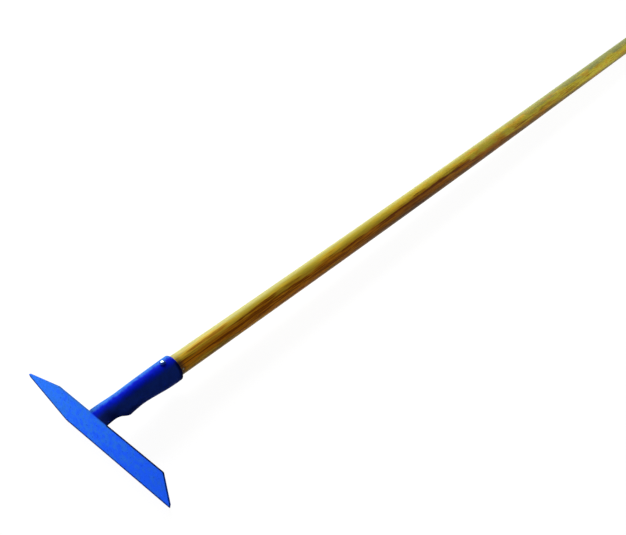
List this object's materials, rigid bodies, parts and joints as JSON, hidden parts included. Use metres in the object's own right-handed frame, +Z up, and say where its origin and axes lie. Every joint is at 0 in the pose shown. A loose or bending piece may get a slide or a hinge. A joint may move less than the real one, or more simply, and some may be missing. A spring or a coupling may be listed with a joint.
{
  "type": "path weeder",
  "caption": "Long-handled path weeder: a pressed steel head with a long pointed blade turned down from an open-seam socket, nailed on a round wooden handle.",
  "frame": {"origin": "under the middle of the tool's box, on the floor that it lies on", "axes": "+Y along the handle away from the head, +X along the blade towards its slanted square end, +Z up"},
  "size_m": [0.2606, 1.571, 0.0485],
  "materials": {
    "blue_paint": "bright blue enamel, semi-gloss, slightly mottled",
    "ash": "clear varnish over straight-grained ash",
    "zinc": "bright zinc plate"
  },
  "bodies": {
    "root": {"weeder_head": "blue_paint", "handle": "ash", "fixing_nail": "zinc"}
  },
  "joints": []
}
